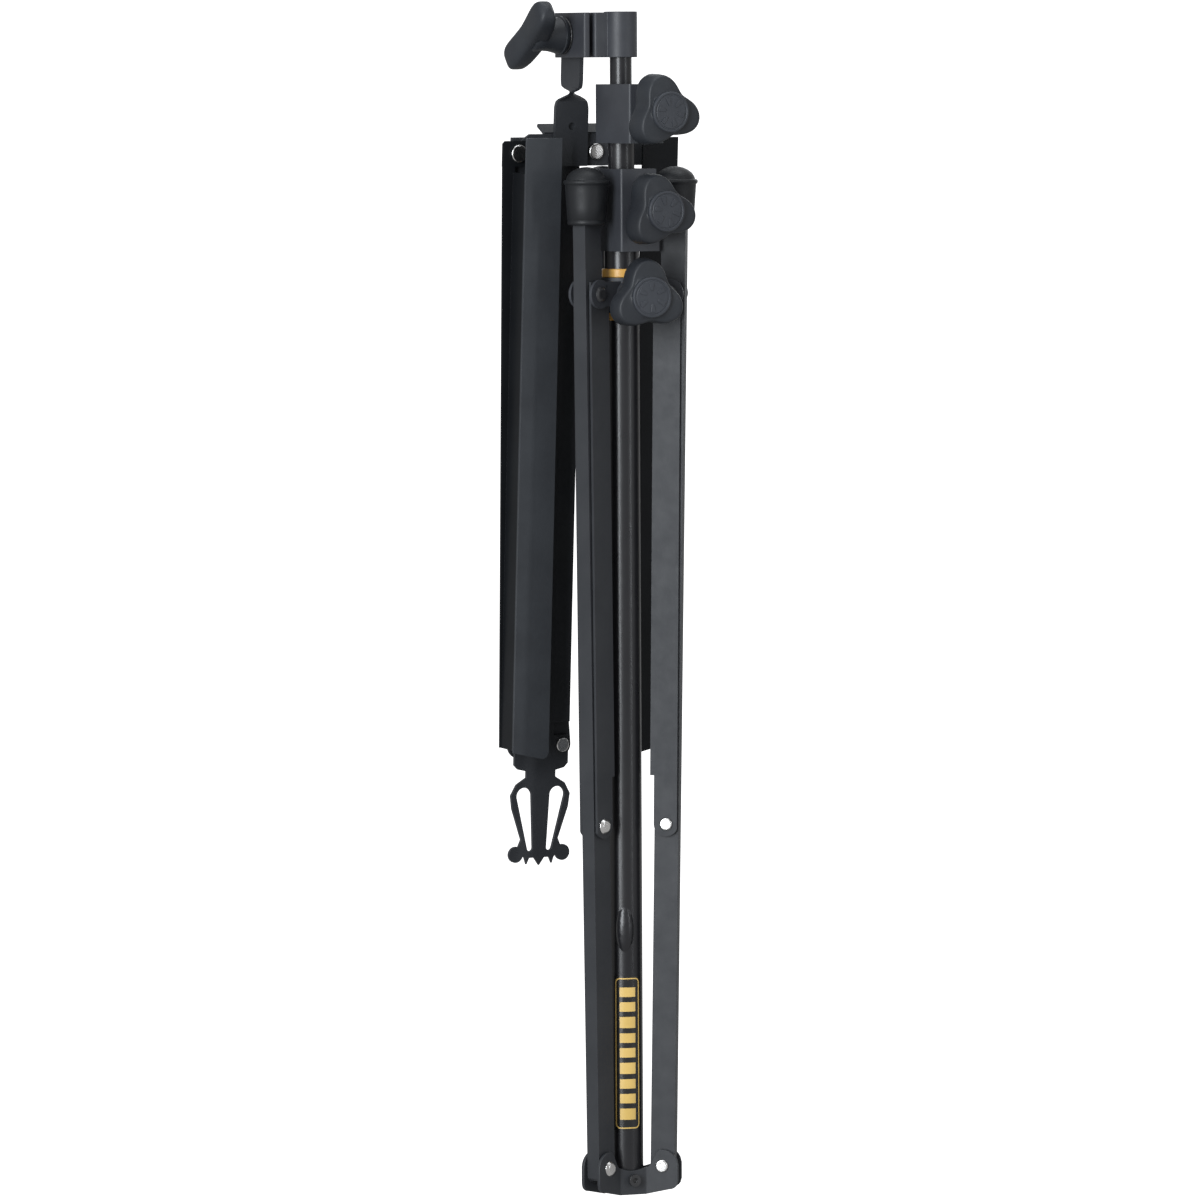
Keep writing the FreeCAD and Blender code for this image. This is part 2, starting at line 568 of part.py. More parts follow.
def make_stays():
    end_q = BLOCK_Q[0] + 4.5
    first_top = (-38.0, 66.0)
    first_low = (SPINE_X + 10.5, end_q)
    second_top = (-13.0, 66.0)
    second_low = (SPINE_X - 10.5, end_q)
    first_n = (4.0, 5.2)
    second_n = (5.3, 6.5)
    save("desk_stay_1", hang(stay(first_top, first_low, first_n, 5.6)))
    save("desk_stay_2", hang(stay(second_top, second_low, second_n, 5.6)))
    bridge = fused([sheet_box(-44, -8.5, SPINE_N, 59.0, 72.0), sheet_box(-44, -8.5, SPINE_N, 46.0, 59.0)])
    bridge = bridge.cut(sheet_box(SPINE_X - 6.0, SPINE_X + 6.0, (0, 9), 40, 80))
    left = bridge.Solids[0]
    right = bridge.Solids[1]
    left = left.cut(pin(5.2, LEFT_PIVOT_X, 0, 9, PIVOT_Q)).cut(pin(1.8, first_top[0], 0, 9, first_top[1]))
    right = right.cut(pin(1.8, second_top[0], 0, 9, second_top[1]))
    save("stay_gussets", hang(group([left, right])))
    rivets = []
    for (x, q), n_back in ((first_top, 5.2), (first_low, 5.2), (second_top, 6.5), (second_low, 6.5)):
        rivets.append(fused([
            pin(1.8, x, 2.5, n_back, q),
            pin(3.2, x, 1.1, 2.5, q),
            pin(3.0, x, n_back, n_back + 1.2, q),
        ]))
    rivets[2] = rivets[2].fuse(pin(3.0, second_top[0], 4.0, 5.3, second_top[1])).removeSplitter()
    rivets[3] = rivets[3].fuse(pin(3.0, second_low[0], 4.0, 5.3, second_low[1])).removeSplitter()
    save("stay_rivets", hang(group(rivets)))


def make_ledge(name, side):
    """Page ledge: pivot strip in the desk's plane, shelf towards the reader, upstanding lip."""
    pivot = abs(LEFT_PIVOT_X if side < 0 else RIGHT_PIVOT_X)
    low_z = -LEDGE_END_Q + 4.0
    outer = pivot + 2.5
    inner = outer - LIP_WIDTH
    tail = Part.Face(Part.makePolygon([
        V(outer - 1.0, TAB_N[0], -PIVOT_Q), V(pivot + 8.0, TAB_N[0], -PIVOT_Q), V(outer + 0.4, TAB_N[0], low_z),
        V(outer - 1.0, TAB_N[0], low_z), V(outer - 1.0, TAB_N[0], -PIVOT_Q),
    ])).extrude(V(0, TAB_N[1] - TAB_N[0], 0))
    head = Part.Face(Part.makePolygon([V(pivot + dx, TAB_N[0], -PIVOT_Q + dz) for dx, dz in STRIP_HEAD]))
    strip = fused([head.extrude(V(0, TAB_N[1] - TAB_N[0], 0)), tail])
    shelf = box(outer - 1.0, outer, LIP_N[0], TAB_N[1], low_z, -PIVOT_Q - 8.5)
    lip = Part.Face(Part.makePolygon([
        V(outer, LIP_N[0], -45.5), V(outer, LIP_N[0], -LEDGE_END_Q + 3.0),
        V(inner + 3.0, LIP_N[0], -LEDGE_END_Q - 0.4), V(inner + 0.9, LIP_N[0], -LEDGE_END_Q + 0.4),
        V(inner, LIP_N[0], -LEDGE_END_Q + 2.4), V(inner, LIP_N[0], -45.5), V(outer, LIP_N[0], -45.5),
    ])).extrude(V(0, LIP_N[1] - LIP_N[0], 0))
    ledge = fused([strip, shelf, lip])
    ledge = ledge.cut(pin(2.5 + FIT, pivot, -5, 9, PIVOT_Q))
    if side < 0:
        ledge = ledge.mirror(V(0, 0, 0), V(1, 0, 0))
    save(name, hang(ledge))


# ---------------------------------------------------------------- build
make_outer_tube()
make_column_inside()
make_decal()
make_leg_parts()
make_hub()
make_leg_collar()
make_clamp_block("lower_clamp_block", LOWER_BLOCK, TUBE_R, LOWER_STUD_Z)
make_clamp_block("upper_clamp_block", UPPER_BLOCK, MID_R, UPPER_STUD_Z)
make_knob(1, 270.0, UPPER_STUD_Z, 45.0, 23.4, SHAFT_R)
make_knob(2, 270.0, LOWER_STUD_Z, 41.0, 17.9, MID_R)
make_knob(3, FRONT_SECTOR, COLLAR_STUD_Z, 40.0, 22.9, TUBE_R)
make_head()
make_strap()
make_desk_frame()
make_spine()
make_stays()
make_ledge("page_ledge_left", -1)
make_ledge("page_ledge_right", 1)
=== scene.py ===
"""Looks for the folded sheet-music stand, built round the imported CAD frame."""

import json
import math

import bmesh
import bpy
from mathutils import Matrix, Vector


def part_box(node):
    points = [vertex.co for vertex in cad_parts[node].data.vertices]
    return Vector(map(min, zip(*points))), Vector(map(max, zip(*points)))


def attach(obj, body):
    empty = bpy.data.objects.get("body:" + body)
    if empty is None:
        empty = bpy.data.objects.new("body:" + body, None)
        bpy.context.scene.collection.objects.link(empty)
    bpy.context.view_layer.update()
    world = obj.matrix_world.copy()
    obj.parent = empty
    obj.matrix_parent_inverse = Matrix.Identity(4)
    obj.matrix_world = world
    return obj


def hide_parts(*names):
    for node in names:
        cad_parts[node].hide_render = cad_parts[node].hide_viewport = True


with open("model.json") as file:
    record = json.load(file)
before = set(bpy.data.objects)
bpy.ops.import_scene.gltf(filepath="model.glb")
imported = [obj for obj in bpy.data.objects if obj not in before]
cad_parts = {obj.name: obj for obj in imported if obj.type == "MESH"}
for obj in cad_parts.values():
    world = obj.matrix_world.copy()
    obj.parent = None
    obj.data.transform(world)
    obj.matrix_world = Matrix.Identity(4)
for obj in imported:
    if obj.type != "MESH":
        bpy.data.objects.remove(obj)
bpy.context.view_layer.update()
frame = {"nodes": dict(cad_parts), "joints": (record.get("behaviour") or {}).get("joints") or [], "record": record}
NODES = frame["nodes"]
RECORD = frame["record"]
BODY_OF = {n: b for b, ns in RECORD["behaviour"]["bodies"].items() for n in ns}
SLOT_OF = {s["node"]: s["material_slot"] for s in RECORD["subparts"]}
MM = 0.001
TAU = 2 * math.pi


def joint_named(name):
    return next(joint for joint in frame["joints"] if joint["name"] == name)


# ---------------------------------------------------------------- materials
class Nodes:
    """A small builder for one material's node tree."""

    def __init__(self, name):
        self.mat = bpy.data.materials.new(name)
        self.mat.use_nodes = True
        self.tree = self.mat.node_tree
        self.bsdf = next(n for n in self.tree.nodes if n.type == "BSDF_PRINCIPLED")
        self.coord = self.tree.nodes.new("ShaderNodeTexCoord").outputs["Object"]

    def link(self, a, b):
        self.tree.links.new(a, b)

    def noise(self, scale, detail=3.0, rough=0.55, stretch=(1, 1, 1)):
        mapping = self.tree.nodes.new("ShaderNodeMapping")
        mapping.inputs["Scale"].default_value = stretch
        self.link(self.coord, mapping.inputs["Vector"])
        tex = self.tree.nodes.new("ShaderNodeTexNoise")
        tex.inputs["Scale"].default_value = scale
        tex.inputs["Detail"].default_value = detail
        tex.inputs["Roughness"].default_value = rough
        self.link(mapping.outputs["Vector"], tex.inputs["Vector"])
        return tex.outputs["Fac"]

    def spread(self, source, low, high, out_low, out_high):
        node = self.tree.nodes.new("ShaderNodeMapRange")
        for name, value in (("From Min", low), ("From Max", high), ("To Min", out_low), ("To Max", out_high)):
            node.inputs[name].default_value = value
        self.link(source, node.inputs["Value"])
        return node.outputs["Result"]

    def ramp(self, source, stops):
        node = self.tree.nodes.new("ShaderNodeValToRGB")
        node.color_ramp.elements[0].position = stops[0][0]
        node.color_ramp.elements[0].color = (*stops[0][1], 1)
        node.color_ramp.elements[1].position = stops[-1][0]
        node.color_ramp.elements[1].color = (*stops[-1][1], 1)
        for place, colour in stops[1:-1]:
            node.color_ramp.elements.new(place).color = (*colour, 1)
        self.link(source, node.inputs["Fac"])
        return node.outputs["Color"]

    def bumps(self, layers):
        """Chained bump nodes: (height, strength, distance in metres) from coarse to fine."""
        last = None
        for height, strength, distance in layers:
            node = self.tree.nodes.new("ShaderNodeBump")
            node.inputs["Strength"].default_value = strength
            node.inputs["Distance"].default_value = distance
            self.link(height, node.inputs["Height"])
            if last is not None:
                self.link(last, node.inputs["Normal"])
            last = node.outputs["Normal"]
        self.link(last, self.bsdf.inputs["Normal"])


    def painted_channel_shade(self, origin, lean, start):
        """Painted shade: darkens the finish behind a leaning plane, dimming its colour and reflection, to stand in
        for the shade in the hollow of a folded channel or on a part lying in shadow.
        """
        place = self.tree.nodes.new("ShaderNodeVectorMath")
        place.operation = "SUBTRACT"
        place.inputs[1].default_value = origin
        self.link(self.coord, place.inputs[0])
        dot = self.tree.nodes.new("ShaderNodeVectorMath")
        dot.operation = "DOT_PRODUCT"
        dot.inputs[1].default_value = (0.0, math.cos(lean), math.sin(lean))
        self.link(place.outputs["Vector"], dot.inputs[0])
        depth, end = dot.outputs["Value"], start + 0.0007
        paint = self.bsdf.inputs["Base Color"].links[0].from_socket
        # painted shade: behind the plane the base colour drops to a quarter and the reflection weakens
        shaded_paint = self.tree.nodes.new("ShaderNodeVectorMath")
        shaded_paint.operation = "SCALE"
        self.link(paint, shaded_paint.inputs[0])
        self.link(self.spread(depth, start, end, 1.0, 0.25), shaded_paint.inputs["Scale"])
        self.link(shaded_paint.outputs["Vector"], self.bsdf.inputs["Base Color"])
        self.link(self.spread(depth, start, end, 0.42, 0.10), self.bsdf.inputs["Specular IOR Level"])
        self.link(self.spread(depth, start, end, 0.54, 0.40), self.bsdf.inputs["Roughness"])


WAVE_DEPTH = 0.12  # share of the wave height that a finish keeps
SCUFF_DEPTH = 0.00003  # metres
SCUFF_STRETCH = (1, 1, 0.25)


def finish_of(
        name, dark, light, rough, grain, wave,
        metallic=0.0, coat=0.0, specular=0.42, scuff=0.0, stretch=(1, 1, 1), painted_shade=None):
    """A finish: colour drifts between dark and light, roughness between two values, and two bump scales."""
    b = Nodes(name)
    cloud = b.noise(38.0, 4.0, 0.6, stretch)
    speck = b.noise(grain[0], 2.0, 0.5, stretch)
    colour = b.ramp(cloud, [(0.35, dark), (0.65, light)])
    b.link(colour, b.bsdf.inputs["Base Color"])
    smear = b.noise(140.0, 5.0, 0.65, stretch)
    b.link(b.spread(smear, 0.3, 0.7, rough[0], rough[1]), b.bsdf.inputs["Roughness"])
    b.bsdf.inputs["Metallic"].default_value = metallic
    b.bsdf.inputs["Specular IOR Level"].default_value = 0.5 if metallic else specular
    b.bsdf.inputs["Coat Weight"].default_value = coat
    b.bsdf.inputs["Coat Roughness"].default_value = 0.25
    swell = b.noise(wave[0], 2.0, 0.5, stretch)
    layers = [(swell, wave[1], wave[2] * WAVE_DEPTH), (speck, grain[1], grain[2])]
    if scuff:
        marks = b.noise(420.0, 6.0, 0.8, SCUFF_STRETCH)
        layers.append((b.spread(marks, 0.62, 0.72, 0.0, 1.0), scuff, SCUFF_DEPTH))
    b.bumps(layers)
    # optional painted shade behind a plane, given as (origin, lean, start); used for the page ledges
    if painted_shade:
        b.painted_channel_shade(*painted_shade)
    return b.mat


MATS = {
    "tube_enamel": finish_of(
        "tube_enamel", (0.010, 0.010, 0.012), (0.014, 0.014, 0.016), (0.26, 0.36),
        (2600, 0.10, 0.00004), (90, 0.10, 0.0002), coat=0.15, scuff=0.05, stretch=(1, 1, 0.35)),
    "sheet_enamel": finish_of(
        "sheet_enamel", (0.021, 0.023, 0.027), (0.028, 0.030, 0.034), (0.48, 0.60),
        (2400, 0.16, 0.00006), (60, 0.12, 0.0003), scuff=0.08),
    # block_enamel is set lighter than the other black enamels as painted light, for the clamp blocks' faces that
    # stand in the key light
    "block_enamel": finish_of(
        "block_enamel", (0.030, 0.032, 0.038), (0.040, 0.043, 0.050), (0.42, 0.54),
        (2100, 0.20, 0.00007), (120, 0.10, 0.0002), scuff=0.05),
    "knob_plastic": finish_of(
        "knob_plastic", (0.011, 0.013, 0.017), (0.017, 0.020, 0.025), (0.44, 0.58),
        (3000, 0.30, 0.00008), (170, 0.08, 0.0002)),
    "knob_cap_plastic": finish_of(
        "knob_cap_plastic", (0.024, 0.027, 0.034), (0.034, 0.038, 0.046), (0.42, 0.54),
        (3400, 0.22, 0.00006), (170, 0.06, 0.0002)),
    "bushing_plastic": finish_of(
        "bushing_plastic", (0.014, 0.014, 0.014), (0.020, 0.020, 0.020), (0.40, 0.55),
        (2600, 0.15, 0.00005), (150, 0.10, 0.0002)),
    "ring_plastic": finish_of(
        "ring_plastic", (0.58, 0.31, 0.07), (0.66, 0.37, 0.09), (0.30, 0.40),
        (2400, 0.06, 0.00004), (150, 0.06, 0.0002)),
    "foot_rubber": finish_of(
        "foot_rubber", (0.003, 0.004, 0.0055), (0.005, 0.006, 0.008), (0.46, 0.60),
        (2200, 0.35, 0.00009), (110, 0.10, 0.0003)),
    "bright_rivet": finish_of(
        "bright_rivet", (0.62, 0.61, 0.60), (0.78, 0.77, 0.76), (0.16, 0.30),
        (1800, 0.10, 0.00004), (300, 0.20, 0.0002), metallic=1.0),
    "black_steel": finish_of(
        "black_steel", (0.012, 0.012, 0.013), (0.03, 0.03, 0.032), (0.26, 0.38),
        (2200, 0.15, 0.00005), (300, 0.15, 0.0002), specular=0.6),
    "brass_shoe": finish_of(
        "brass_shoe", (0.55, 0.38, 0.15), (0.70, 0.50, 0.22), (0.25, 0.38),
        (2200, 0.10, 0.00004), (300, 0.10, 0.0002), metallic=1.0),
    "decal_film": finish_of(
        "decal_film", (0.010, 0.010, 0.010), (0.013, 0.013, 0.013), (0.20, 0.28),
        (1500, 0.05, 0.00003), (120, 0.10, 0.0002), coat=0.3),
}
PRINT = finish_of(
    "amber_print", (0.62, 0.42, 0.12), (0.70, 0.48, 0.15), (0.30, 0.42),
    (2400, 0.08, 0.00003), (200, 0.05, 0.0001))


# ---------------------------------------------------------------- mesh helpers
def add_object(name, mesh, body, slot, material=None):
    obj = bpy.data.objects.new(name, mesh)
    bpy.context.scene.collection.objects.link(obj)
    mesh.materials.clear()
    mesh.materials.append(material or MATS[slot])
    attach(obj, body)
    return obj


def smooth_by_angle(bm, degrees):
    limit = math.radians(degrees)
    for face in bm.faces:
        face.smooth = True
    for edge in bm.edges:
        edge.smooth = len(edge.link_faces) == 2 and edge.calc_face_angle(0.0) < limit


def refined(node, width_mm, segments=2, angle=32.0):
    """A CAD node's shape again, with welded facets, softened edges and smooth shading."""
    bm = bmesh.new()
    bm.from_mesh(NODES[node].data)
    bmesh.ops.remove_doubles(bm, verts=bm.verts, dist=2e-6)
    bmesh.ops.dissolve_limit(bm, angle_limit=math.radians(0.4), verts=bm.verts, edges=bm.edges)
    smooth_by_angle(bm, angle)
    mesh = bpy.data.meshes.new(node + "_look")
    bm.to_mesh(mesh)
    bm.free()
    slot = SLOT_OF[node]
    obj = add_object(node + "_look", mesh, BODY_OF[node], slot)
    if width_mm:
        bevel = obj.modifiers.new("edge", "BEVEL")
        bevel.width = width_mm * MM
        bevel.segments = segments
        bevel.limit_method = "ANGLE"
        bevel.angle_limit = math.radians(angle)
        bevel.use_clamp_overlap = True
    even = obj.modifiers.new("normals", "WEIGHTED_NORMAL")
    even.keep_sharp = True
    even.weight = 90
    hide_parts(node)
    return obj


def skin(name, rings, body, slot, place=None, close_start=True, close_end=True, sharp=50.0, material=None):
    """A surface over rings of equal point counts, with fan caps, placed by a matrix."""
    bm = bmesh.new()
    rows = [[bm.verts.new(p) for p in ring] for ring in rings]
    count = len(rings[0])
    for low, high in zip(rows, rows[1:]):
        for i in range(count):
            j = (i + 1) % count
            bm.faces.new((low[i], low[j], high[j], high[i]))
    for row, wanted in ((rows[0], close_start), (rows[-1], close_end)):
        if wanted:
            middle = sum((v.co for v in row), Vector()) / count
            hub = bm.verts.new(middle)
            for i in range(count):
                bm.faces.new((row[i], row[(i + 1) % count], hub))
    bmesh.ops.recalc_face_normals(bm, faces=bm.faces)
    smooth_by_angle(bm, sharp)
    if place is not None:
        bm.transform(place)
    mesh = bpy.data.meshes.new(name)
    bm.to_mesh(mesh)
    bm.free()
    return add_object(name, mesh, body, slot, material)


def lathe(profile, sides=48):
    """Rings about +X from (along, radius) pairs in millimetres."""
    return [
        [Vector((a, r * math.cos(TAU * i / sides), r * math.sin(TAU * i / sides))) * MM for i in range(sides)]
        for a, r in profile
    ]


def frame_at(origin, direction, up=(0, 0, 1)):
    """A matrix whose +X is direction and whose +Z is as near up as can be."""
    x = Vector(direction).normalized()
    y = Vector(up).cross(x).normalized()
    z = x.cross(y)
    m = Matrix((x, y, z)).transposed().to_4x4()
    m.translation = Vector(origin)
    return m


def joined(name, parts, body, slot):
    """Several new pieces made into one."""
    bm = bmesh.new()
    for part in parts:
        bm.from_mesh(part.data)
    mesh = bpy.data.meshes.new(name)
    bm.to_mesh(mesh)
    bm.free()
    for part in parts:
        bpy.data.objects.remove(part)
    return add_object(name, mesh, body, slot)


# ---------------------------------------------------------------- clamp knobs
WAIST_R, LOBE_RISE, ROUND_R = 11.3, 6.3, 9.2
GRIP_DEPTH = 15.0
KNOB_TURNS = {1: -14.0, 2: -12.0, 3: -27.0}  # degrees


def lobe_radius(phi):
    """Outline of a three-lobed grip, in millimetres: round lobes and hollow flanks."""
    swell = 0.5 + 0.5 * math.cos(3 * phi)
    return WAIST_R + LOBE_RISE * swell ** 0.95


def grip_rings(sections, turn, sides=120):
    """Rings for (along, scale, blend): blend 0 follows the lobes, 1 is round with radius ROUND_R."""
    rings = []
    for along, scale, blend in sections:
        ring = []
        for i in range(sides):
            phi = TAU * i / sides
            r = lobe_radius(phi - turn) * (1 - blend) + ROUND_R * blend
            r *= scale
            ring.append(Vector((along, r * math.cos(phi), r * math.sin(phi))) * MM)
        rings.append(ring)
    return rings


def bar_at(along, angle, corners):
    """One ring of a raised bar on the cap, from (outward, sideways) corners in millimetres."""
    c, s = math.cos(angle), math.sin(angle)
    return [Vector((along, out * c - side * s, out * s + side * c)) * MM for out, side in corners]


def make_knob(number):
    low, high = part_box(f"knob_cap_{number}")
    joint = joint_named(f"knob_{number}_turn")
    axis = Vector(joint["axis"])
    centre = (low + high) / 2
    origin = Vector((0, 0, joint["pos_m"][2]))
    face = (centre - origin).dot(axis) / MM + 0.5
    place = frame_at(origin, axis)
    body = BODY_OF[f"clamp_knob_{number}"]
    back = face - GRIP_DEPTH
    turn = math.radians(KNOB_TURNS[number])
    sections = [
        (back, 0.55, 0.0), (back, 0.86, 0.0), (back + 0.3, 0.92, 0.0), (back + 1.1, 0.965, 0.0),
        (back + 3.0, 0.995, 0.0), (back + 7.5, 0.985, 0.0), (back + 10.6, 0.965, 0.0),
        (back + 11.9, 0.945, 0.0), (back + 12.5, 0.915, 0.0), (back + 12.75, 0.88, 0.0),
        (back + 12.8, 0.84, 0.05), (back + 12.95, 0.84, 0.3), (back + 13.2, 0.89, 0.65),
        (back + 13.4, 1.0, 0.95), (back + 13.5, 1.02, 1.0),
    ]
    grip = skin("grip", grip_rings(sections, turn), body, "knob_plastic", place, True, True, 60.0)
    near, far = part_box(f"clamp_knob_{number}")
    reach = min((near - origin).dot(axis), (far - origin).dot(axis)) / MM
    neck = skin("neck", lathe([
        (reach, 3.2), (reach, 6.2), (reach + 0.5, 6.6), (reach + 2.2, 6.75), (reach + 2.4, 6.45),
        (reach + 3.0, 6.45), (reach + 3.2, 6.8), (back - 0.9, 7.8), (back + 0.2, 9.4), (back + 1.0, 9.6)]),
        body, "knob_plastic", place, True, True, 60.0)
    piece = joined(f"knob_{number}_grip", [grip, neck], body, "knob_plastic")
    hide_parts(f"clamp_knob_{number}")
    disc = skin("disc", lathe([
        (face - 1.6, 9.1), (face - 0.35, 9.1), (face - 0.1, 8.95), (face, 8.7), (face, 8.15),
        (face - 0.12, 8.05), (face - 0.3, 7.9), (face - 0.3, 7.5), (face - 0.12, 7.3), (face - 0.1, 5.0),
        (face - 0.1, 2.2), (face - 0.1, 0.6)]), body, "knob_cap_plastic", place, True, True, 40.0)
    parts = [disc]
    for k in range(6):
        angle = TAU * k / 6 + turn
        bar = []
        for along, shrink in ((face - 0.35, 0.0), (face + 0.12, 0.0), (face + 0.2, 0.12)):
            inner, outer = 3.0 + shrink, 6.6 - shrink
            half_in, half_out = 0.55 - shrink, 1.25 - shrink
            corners = ((inner, -half_in), (outer, -half_out), (outer, half_out), (inner, half_in))
            bar.append(bar_at(along, angle, corners))
        parts.append(skin("bar", bar, body, "knob_cap_plastic", place, True, True, 30.0))
    cap = joined(f"knob_{number}_face", parts, body, "knob_cap_plastic")
    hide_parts(f"knob_cap_{number}")


for n in (1, 2, 3):
    make_knob(n)


# ---------------------------------------------------------------- wing knob
WING_TURN = math.radians(36.0)
WING_HALF_LENGTH = 21.5


def make_wing():
    _, y0, z0 = joint_named("wing_knob_turn")["pos_m"]
    place = frame_at((0, y0, z0), (-1, 0, 0))
    body = BODY_OF["wing_knob"]
    near = -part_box("wing_knob")[1].x / MM
    hub = skin("hub", lathe([
        (near, 3.2), (near, 8.0), (near + 0.6, 8.7), (near + 2.0, 8.8), (near + 2.3, 8.3), (near + 3.0, 8.2),
        (near + 7.0, 7.2), (near + 11.0, 6.9), (near + 15.0, 7.4), (near + 16.5, 6.5)]),
        body, "knob_plastic", place, True, True, 50.0)
    rings = []
    steps = 40
    sides = 32
    for i in range(steps + 1):
        t = -1 + 2 * i / steps
        end = max(math.sqrt(max(0.0, 1 - abs(t) ** 6.0)), 0.08)
        reach = WING_HALF_LENGTH * t
        outer_x = near + 22.3 - 1.8 * (1 - t * t)
        inner_x = near + 8.6 + 2.9 * min(1.0, abs(t) * 1.35) ** 1.3
        mid = (outer_x + inner_x) / 2
        thick = (outer_x - inner_x) / 2 * end
        width = (5.9 + 1.3 * abs(t)) * end
        ring = []
        for k in range(sides):
            a = TAU * k / sides
            c, s = math.cos(a), math.sin(a)
            across = math.copysign(abs(c) ** 0.5, c) * thick
            wide = math.copysign(abs(s) ** 0.5, s) * width
            y = reach * math.cos(WING_TURN) - wide * math.sin(WING_TURN)
            z = reach * math.sin(WING_TURN) + wide * math.cos(WING_TURN)
            ring.append(Vector((mid + across, y, z)) * MM)
        rings.append(ring)
    wing = skin("wing", rings, body, "knob_plastic", place, True, True, 60.0)
    piece = joined("wing_knob_grip", [hub, wing], body, "knob_plastic")
    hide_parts("wing_knob")


make_wing()


# ---------------------------------------------------------------- rubber feet
FOOT_CROWN = 6.6  # height above the middle of the brim


def make_foot(number):
    node = f"rubber_foot_{number}"
    low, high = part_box(node)
    centre = (low + high) / 2
    base, top = low.z / MM, high.z / MM
    brim = top - FOOT_CROWN
    profile = [
        (base, 4.2), (base, 7.9), (base + 0.3, 8.4), (base + 1.0, 8.6), (base + 1.6, 8.6), (base + 1.8, 8.4),
        (base + 2.2, 8.4), (base + 2.4, 8.62), (base + 8.0, 8.95), (brim - 4.0, 9.45), (brim - 1.7, 9.6),
        (brim - 1.3, 9.75), (brim - 0.9, 10.2), (brim - 0.3, 10.4), (brim + 0.35, 10.3), (brim + 0.7, 9.8),
        (brim + 0.9, 9.2), (brim + 2.2, 8.75), (brim + 3.7, 7.7), (brim + 5.0, 6.0), (brim + 6.0, 3.9),
        (brim + 6.45, 2.0), (brim + 6.6, 0.5)]
    place = frame_at((centre.x, centre.y, 0), (0, 0, 1), (1, 0, 0))
    rings = lathe(profile, 64)
    piece = skin(f"foot_{number}_boot", rings, BODY_OF[node], "foot_rubber", place, True, True, 50.0)
    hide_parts(node)


for n in (1, 2, 3):
    make_foot(n)


# ---------------------------------------------------------------- hub bracket
EAR_REACH, EAR_ROOT, PIVOT_R, PIVOT_Z, EAR_R = 25.0, 10.0, 17.5, 13.2, 7.5
EAR_OFFSET = 4.65
HALF_SHEET = 0.75
EAR_STEPS, PLATE_STEPS = 24, 16


def hub_strip(leg_a, leg_b):
    """One pressed strip: ear beside leg a, face plate on the tube, ear beside leg b, as rings of four."""
    path = []
    for leg, side in ((leg_a, 1), (leg_b, -1)):
        low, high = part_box(f"rubber_foot_{leg}")
        centre = (low + high) / 2
        out = Vector((centre.x, centre.y, 0)).normalized()
        across = Vector((-out.y, out.x, 0)) * side
        ear = []
        for k in range(EAR_STEPS + 1):
            r = EAR_REACH - (EAR_REACH - EAR_ROOT) * k / EAR_STEPS
            d = r - PIVOT_R
            top = PIVOT_Z + (math.sqrt(max(0.0, EAR_R ** 2 - d * d)) if d > 0 else EAR_R)
            fall = min(1.0, max(0.0, (16.5 - r) / 6.0))
            top -= 8.2 * fall * fall * (3 - 2 * fall)
            lift = min(1.0, max(0.0, (r - 10.0) / 11.0))
            curl = min(1.0, max(0.0, (r - 21.0) / 4.0))
            bottom = 0.15 + 2.4 * lift + 4.0 * (1 - math.sqrt(1 - curl * curl))
            if k == 0:
                top = PIVOT_Z + 0.4
            ear.append((out * r + across * EAR_OFFSET, bottom, top))
        path.append(ear)
    ear_a, ear_b = path
    corner_a, corner_b = ear_a[-1][0], ear_b[-1][0]
    plate = []
    for k in range(1, PLATE_STEPS):
        t = k / PLATE_STEPS
        sag = math.sin(math.pi * t)
        plate.append((corner_a.lerp(corner_b, t), 0.15, 12.5 - 1.4 * sag))
    whole = ear_a + plate + ear_b[::-1]
    rings = []
    for i, (p, bottom, top) in enumerate(whole):
        before, after = whole[max(0, i - 1)][0], whole[min(len(whole) - 1, i + 1)][0]
        run = (after - before).normalized()
        normal = Vector((run.y, -run.x, 0)) * HALF_SHEET
        rings.append([Vector((q.x, q.y, z)) * MM for q, z in (
            (p - normal, bottom), (p + normal, bottom), (p + normal, top), (p - normal, top))])
    return rings


def make_hub():
    strips = [
        skin("strip", hub_strip(a, b), BODY_OF["hub_bracket"], "sheet_enamel", None, True, True, 40.0)
        for a, b in ((2, 1), (1, 3), (3, 2))]
    hub = joined("hub_bracket_sheet", strips, BODY_OF["hub_bracket"], "sheet_enamel")
    bevel = hub.modifiers.new("edge", "BEVEL")
    bevel.width = 0.3 * MM
    bevel.segments = 2
    bevel.limit_method = "ANGLE"
    bevel.angle_limit = math.radians(45.0)
    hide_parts("hub_bracket")


make_hub()


# ---------------------------------------------------------------- printed label
LABEL_MID = math.radians(248.0)
LABEL_LOW, LABEL_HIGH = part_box("decal_plate")[0].z / MM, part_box("decal_plate")[1].z / MM
PRINT_R = 8.14
PRINT_THICK = 0.05
OUTLINE_HALF, OUTLINE_INSET, OUTLINE_CORNER, OUTLINE_WIDTH = 41.0, 0.9, 2.2, 0.55
BAR_HALF, BAR_START, BAR_GAP, BAR_COUNT = 26.0, 5.0, 2.4, 9
BAR_SHORT, BAR_TALL = 4.3, 5.1


